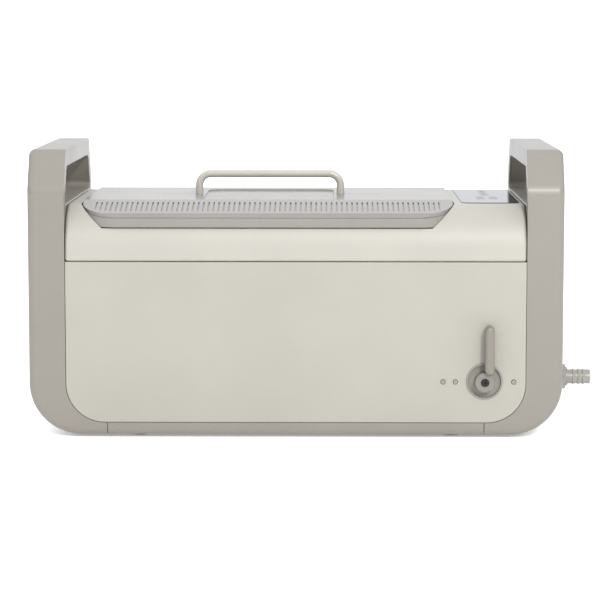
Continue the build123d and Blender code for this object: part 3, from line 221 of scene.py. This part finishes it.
def touch_glass(name):
    """Back-printed glass: a dark print under a polished face with faint finger smears."""
    g = Graph(name)
    cloud = g.noise(18.0, 3.0, 0.5)
    smear = g.noise(90.0, 4.0, 0.6)
    tint = g.mix(g.spread(cloud, 0.3, 0.7), (0.030, 0.031, 0.040), (0.038, 0.039, 0.050))
    g.set(Base_Color=tint, Roughness=g.spread(smear, 0.3, 0.8, 0.05, 0.10))
    g.put(g.shader.inputs["IOR"], 1.25)
    g.bump(cloud, 0.02, 0.02 * MM, 0.3 * MM)
    return g.material


def circuit(name):
    g = Graph(name)
    cloud = g.noise(60.0, 3.0, 0.5)
    fine = g.noise(900.0, 2.0, 0.5)
    tint = g.mix(g.spread(cloud, 0.4, 0.6), (0.012, 0.10, 0.04), (0.02, 0.15, 0.06))
    g.set(Base_Color=tint, Roughness=g.spread(fine, 0.3, 0.7, 0.28, 0.45))
    g.bump(fine, 0.2, 0.03 * MM, 0.2 * MM)
    return g.material


FINISHES = {
    "frame_plastic": moulded("frame_plastic", (0.171, 0.158, 0.136), 0.36, 0.30),
    "body_plastic": moulded("body_plastic", (0.295, 0.286, 0.252), 0.50, 0.16),
    "lid_plastic": moulded("lid_plastic", (0.186, 0.178, 0.163), 0.24, 0.06, gap_shade=0.2, gloss=1.33),
    "trim_plastic": moulded("trim_plastic", (0.148, 0.135, 0.113), 0.36, 0.15),
    "outlet_plastic": moulded("outlet_plastic", (0.195, 0.187, 0.162), 0.36, 0.15),
    "valve_plastic": moulded("valve_plastic", (0.62, 0.62, 0.60), 0.42, 0.2),
    "black_plastic": moulded("black_plastic", (0.022, 0.022, 0.024), 0.45, 0.3),
    "rocker_plastic": moulded("rocker_plastic", (0.03, 0.03, 0.032), 0.2, 0.05, coat=0.4),
    "capacitor_sleeve": moulded("capacitor_sleeve", (0.02, 0.035, 0.09), 0.25, 0.1),
    "touch_glass": touch_glass("touch_glass"),
    "circuit_board": circuit("circuit_board"),
    "coated_rod": moulded("coated_rod", (0.335, 0.322, 0.290), 0.30, 0.25, 0.4 * MM),
    "stainless_steel": brushed("stainless_steel", (0.62, 0.62, 0.63), 0.26, "X"),
    "zinc_steel": brushed("zinc_steel", (0.55, 0.56, 0.58), 0.36, "Z"),
    "black_steel": brushed("black_steel", (0.02, 0.02, 0.02), 0.35, "Y", 0.6),
    "aluminium": brushed("aluminium", (0.66, 0.67, 0.69), 0.34, "X"),
    "spring_brass": brushed("spring_brass", (0.62, 0.42, 0.16), 0.3, "Z"),
    "piezo_ceramic": moulded("piezo_ceramic", (0.42, 0.38, 0.29), 0.5, 0.3),
    "silicone": rubbery("silicone", (0.55, 0.55, 0.53), 0.5),
    "heater_silicone": rubbery("heater_silicone", (0.30, 0.05, 0.02), 0.6),
    "hose_rubber": rubbery("hose_rubber", (0.03, 0.03, 0.03), 0.55),
    "black_rubber": rubbery("black_rubber", (0.02, 0.02, 0.02), 0.7),
    # Strong painted shade in the screw sockets and round the heads.
    "zinc_dull": moulded("zinc_dull", (0.30, 0.285, 0.245), 0.45, 0.15, gap_shade=0.8),
    "key_print": moulded("key_print", (0.15, 0.155, 0.165), 0.08, 0.02, edge=0.0, gloss=1.25),
    "display_bars": moulded("display_bars", (0.055, 0.058, 0.066), 0.08, 0.02, edge=0.0, gloss=1.25),
    # Darker copy of body_plastic for the front panel: painted shade.
    "panel_shaded_plastic": moulded("panel_shaded_plastic", (0.264, 0.255, 0.221), 0.50, 0.16),
    # Darker copy of body_plastic for the valve dish: painted shade in the recess.
    "escutcheon_shaded_plastic": moulded("escutcheon_shaded_plastic", (0.172, 0.165, 0.144), 0.46, 0.16),
    # Near-black rings round the screw heads: painted shade.
    "shade_ring_black": moulded("shade_ring_black", (0.018, 0.018, 0.018), 0.6, 0.2),
    "ptfe": moulded("ptfe", (0.82, 0.82, 0.80), 0.5, 0.1),
}


# Nodes that take a darker copy of body_plastic as painted shade instead of their slot's finish.
SHADED_COPY_FINISH = {
    "valve_escutcheon": "escutcheon_shaded_plastic",
    "front_panel": "panel_shaded_plastic",
}


def paint_frame_nodes():
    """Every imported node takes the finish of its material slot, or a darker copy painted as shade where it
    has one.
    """
    for row in frame["record"]["subparts"]:
        node = nodes[row["node"]]
        node.data.materials.clear()
        node.data.materials.append(FINISHES[SHADED_COPY_FINISH.get(row["node"], row["material_slot"])])


# ---- detail pieces ------------------------------------------------------------------------
def add_piece(name, mesh_data, finish, body, replaced=()):
    """A new mesh that rides on a body, takes a finish and may stand for nodes."""
    vertices, faces = mesh_data
    mesh = bpy.data.meshes.new(name)
    mesh.from_pydata(vertices, [], faces)
    work = bmesh.new()
    work.from_mesh(mesh)
    bmesh.ops.recalc_face_normals(work, faces=work.faces)
    work.to_mesh(mesh)
    work.free()
    mesh.materials.append(finish)
    piece = bpy.data.objects.new(name, mesh)
    bpy.context.scene.collection.objects.link(piece)
    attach(piece, body)
    if replaced:
        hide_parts(*replaced)
    return piece


def stack_rings(centre, rings, steps=48):
    """Closed skin through rings about the Y axis. A ring is (radius, y, flats): round if flats is 0."""
    vertices, faces = [], []
    for radius, y, flats in rings:
        for step in range(steps):
            angle = 2 * math.pi * step / steps
            reach = radius
            if flats:
                sector = 2 * math.pi / flats
                reach = radius / math.cos((angle % sector) - sector / 2)
            vertices.append((centre[0] + reach * math.cos(angle), y, centre[1] + reach * math.sin(angle)))
    for row in range(len(rings) - 1):
        for step in range(steps):
            after = (step + 1) % steps
            first, second = row * steps, (row + 1) * steps
            faces.append((first + step, first + after, second + after, second + step))
    faces.append(tuple(range(steps)))
    faces.append(tuple(range((len(rings) - 1) * steps, len(rings) * steps)))
    return vertices, faces


def join(parts):
    """One vertex and face list from several."""
    vertices, faces = [], []
    for part_vertices, part_faces in parts:
        start = len(vertices)
        vertices += part_vertices
        faces += [tuple(start + index for index in face) for face in part_faces]
    return vertices, faces


def add_panel_screws():
    """Three socket screws beside the drain lever, in place of the plain heads, each ringed by a near-black
    disc painted as shade.
    """
    low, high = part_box("panel_screws")
    panel_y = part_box("front_panel")[0][1]
    z = (low[2] + high[2]) / 2
    heads, screw_shade_rings = [], []
    for x in (low[0] + SCREW_SHADE_RING_RADIUS, low[0] + SCREW_SHADE_RING_RADIUS + SCREW_STEP, high[0] - SCREW_SHADE_RING_RADIUS):
        top = panel_y - 1.65 * MM
        heads.append(stack_rings((x, z), [
            (0.85 * MM, top + 1.0 * MM, 6),
            (0.85 * MM, top, 6),
            (1.55 * MM, top, 0),
            (1.85 * MM, top + 0.25 * MM, 0),
            (1.95 * MM, top + 0.6 * MM, 0),
            (1.95 * MM, panel_y - 0.5 * MM, 0),
            (1.5 * MM, panel_y - 0.45 * MM, 0),
            (1.5 * MM, panel_y + 7.6 * MM, 0),
        ]))
        # Near-black ring round each head: painted shade where the head meets the panel.
        screw_shade_rings.append(stack_rings((x, z), [
            (1.52 * MM, panel_y, 0),
            (1.52 * MM, panel_y - 0.55 * MM, 0),
            (2.45 * MM, panel_y - 0.55 * MM, 0),
            (SCREW_SHADE_RING_RADIUS, panel_y - 0.3 * MM, 0),
            (SCREW_SHADE_RING_RADIUS, panel_y, 0),
        ]))
    heads = add_piece("panel_screw_heads", join(heads), FINISHES["zinc_dull"], "housing", ("panel_screws",))
    screw_shade_rings = add_piece("panel_screw_shade_rings", join(screw_shade_rings), FINISHES["shade_ring_black"], "housing")


def flat_loop(points, low, high):
    """Prism on an outline in the XY plane."""
    count = len(points)
    vertices = [(x, y, low) for x, y in points] + [(x, y, high) for x, y in points]
    faces = [tuple(range(count)), tuple(range(count, 2 * count))]
    for index in range(count):
        after = (index + 1) % count
        faces.append((index, after, count + after, count + index))
    return vertices, faces


def flat_ring(centre, outer, inner, low, high, steps=48):
    """Flat ring on the glass."""
    vertices, faces = [], []
    for radius, z in ((outer, low), (outer, high), (inner, high), (inner, low)):
        for step in range(steps):
            angle = 2 * math.pi * step / steps
            vertices.append((centre[0] + radius * math.cos(angle), centre[1] + radius * math.sin(angle), z))
    for row in range(4):
        for step in range(steps):
            after = (step + 1) % steps
            first, second = row * steps, ((row + 1) % 4) * steps
            faces.append((first + step, first + after, second + after, second + step))
    return vertices, faces


def segment(centre, length, width, upright):
    """Outline of one bar of a seven-bar digit, with pointed ends."""
    half, side = length / 2, width / 2
    points = [(-half, 0), (-half + side, side), (half - side, side), (half, 0),
              (half - side, -side), (-half + side, -side)]
    if upright:
        points = [(-y, x) for x, y in points]
    return [(centre[0] + x, centre[1] + y) for x, y in points]


def add_glass_print():
    """Printed key rings and arrows, and two rows of display digits, on the touch glass."""
    low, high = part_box("control_glass")
    base, top = high[2], high[2] + PRINT_THICKNESS
    key_x = (low[0] + high[0]) / 2
    marks = []
    springs_low, springs_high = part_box("touch_springs")
    pitch = (springs_high[1] - springs_low[1] - 8 * MM) / 4
    for index in range(5):
        centre = (key_x, springs_low[1] + 4 * MM + pitch * index)
        marks.append(flat_ring(centre, 5.2 * MM, 4.7 * MM, base, top))
        turn = (0, math.pi, 0, math.pi, None)[index]
        if turn is None:
            marks.append(flat_ring(centre, 2.2 * MM, 1.7 * MM, base, top, 24))
            bar = [(-0.3, 0.6), (0.3, 0.6), (0.3, 3.0), (-0.3, 3.0)]
            marks.append(flat_loop([(centre[0] + x * MM, centre[1] + y * MM) for x, y in bar], base, top))
            continue
        arrow = []
        for corner in range(3):
            angle = math.pi / 2 + turn + corner * 2 * math.pi / 3
            arrow.append((centre[0] + 2.3 * MM * math.cos(angle), centre[1] + 2.3 * MM * math.sin(angle)))
        marks.append(flat_loop(arrow, base, top))
    print_piece = add_piece("glass_print", join(marks), FINISHES["key_print"], "housing")
    display_low, display_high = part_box("display_module")
    height, width, bar = 6.6 * MM, 8.0 * MM, 1.3 * MM
    bars = []
    for row in range(2):
        middle_y = display_low[1] + (0.27 + 0.46 * row) * (display_high[1] - display_low[1])
        for column in range(2):
            middle_x = display_low[0] + (0.28 + 0.44 * column) * (display_high[0] - display_low[0])
            for level in (-1, 0, 1):
                at = (middle_x, middle_y + level * (height + 0.5 * MM))
                bars.append(flat_loop(segment(at, width - bar, bar, False), base, top))
            for side in (-1, 1):
                for level in (-0.5, 0.5):
                    at = (middle_x + side * width / 2, middle_y + level * (height + 0.5 * MM))
                    bars.append(flat_loop(segment(at, height - 0.4 * MM, bar, True), base, top))
    digits = add_piece("display_digits", join(bars), FINISHES["display_bars"], "housing")


# ---- camera, light and floor --------------------------------------------------------------
def add_camera():
    data = bpy.data.cameras.new("camera")
    data.lens = CAMERA_LENS
    data.sensor_width = 36.0
    data.clip_end = 50.0
    camera = bpy.data.objects.new("camera", data)
    camera.location = CAMERA_PLACE
    camera.rotation_euler = (math.radians(90 - CAMERA_DIP), 0.0, math.radians(CAMERA_TURN))
    bpy.context.scene.collection.objects.link(camera)
    bpy.context.scene.camera = camera


def add_area_light(name, place, target, size, power, colour):
    data = bpy.data.lights.new(name, "AREA")
    data.shape = "RECTANGLE"
    data.size, data.size_y = size
    data.energy = power
    data.color = colour
    light = bpy.data.objects.new(name, data)
    light.location = place
    aim = Vector(target) - Vector(place)
    light.rotation_euler = aim.to_track_quat("-Z", "Y").to_euler()
    bpy.context.scene.collection.objects.link(light)


def add_world():
    """Soft room light: white behind, blue-white above, dim in front and dark at the two sides."""
    world = bpy.data.worlds.new("studio")
    world.use_nodes = True
    tree = world.node_tree
    direction = tree.nodes.new("ShaderNodeTexCoord").outputs["Generated"]
    split = tree.nodes.new("ShaderNodeSeparateXYZ")
    tree.links.new(direction, split.inputs[0])

    def ramp(value, low, high, to_low, to_high):
        node = tree.nodes.new("ShaderNodeMapRange")
        node.interpolation_type = "SMOOTHSTEP"
        tree.links.new(value, node.inputs["Value"])
        for name, number in zip(("From Min", "From Max", "To Min", "To Max"), (low, high, to_low, to_high)):
            node.inputs[name].default_value = number
        return node.outputs["Result"]

    def combine(operation, first, second):
        node = tree.nodes.new("ShaderNodeMath")
        node.operation = operation
        tree.links.new(first, node.inputs[0])
        tree.links.new(second, node.inputs[1])
        return node.outputs["Value"]

    sideways = tree.nodes.new("ShaderNodeMath")
    sideways.operation = "ABSOLUTE"
    tree.links.new(split.outputs["X"], sideways.inputs[0])
    depth = ramp(split.outputs["Y"], -0.6, 0.35, FRONT_LIGHT, REAR_LIGHT)
    overhead = ramp(split.outputs["Z"], 0.05, 0.55, 0.0, 1.0)
    flags = ramp(sideways.outputs[0], 0.35, 0.8, 1.0, SIDE_LIGHT)
    level = combine("MULTIPLY", depth, flags)
    above = tree.nodes.new("ShaderNodeMix")
    above.data_type = "FLOAT"
    tree.links.new(overhead, above.inputs["Factor"])
    tree.links.new(level, above.inputs["A"])
    above.inputs["B"].default_value = TOP_LIGHT
    background = tree.nodes["Background"]
    background.inputs["Color"].default_value = (0.955, 0.965, 1.0, 1.0)
    tree.links.new(above.outputs["Result"], background.inputs["Strength"])
    bpy.context.scene.world = world


def add_floor():
    """White sweep of paper that glows a little, so that it stays white under the object."""
    size = 40.0
    mesh = bpy.data.meshes.new("floor")
    corners = [(-size, -size, 0), (size, -size, 0), (size, size, 0), (-size, size, 0)]
    mesh.from_pydata(corners, [], [(0, 1, 2, 3)])
    floor = bpy.data.objects.new("floor", mesh)
    g = Graph("floor_paint")
    cloud = g.noise(0.8, 3.0, 0.5)
    g.set(Base_Color=g.mix(g.spread(cloud, 0.3, 0.7), (0.93, 0.93, 0.93), (0.95, 0.95, 0.95)),
          Roughness=0.9, Specular_IOR_Level=0.1,
          Emission_Color=(1.0, 1.0, 1.0), Emission_Strength=FLOOR_GLOW)
    mesh.materials.append(g.material)
    bpy.context.scene.collection.objects.link(floor)


def add_lights():
    add_area_light("key", KEY_PLACE, KEY_TARGET, (KEY_SIZE, KEY_SIZE), KEY_POWER, (1.0, 0.99, 0.955))


bpy.context.scene.view_settings.view_transform = "Standard"
add_camera()
add_world()
add_floor()
add_lights()
paint_frame_nodes()
add_panel_screws()
add_glass_print()
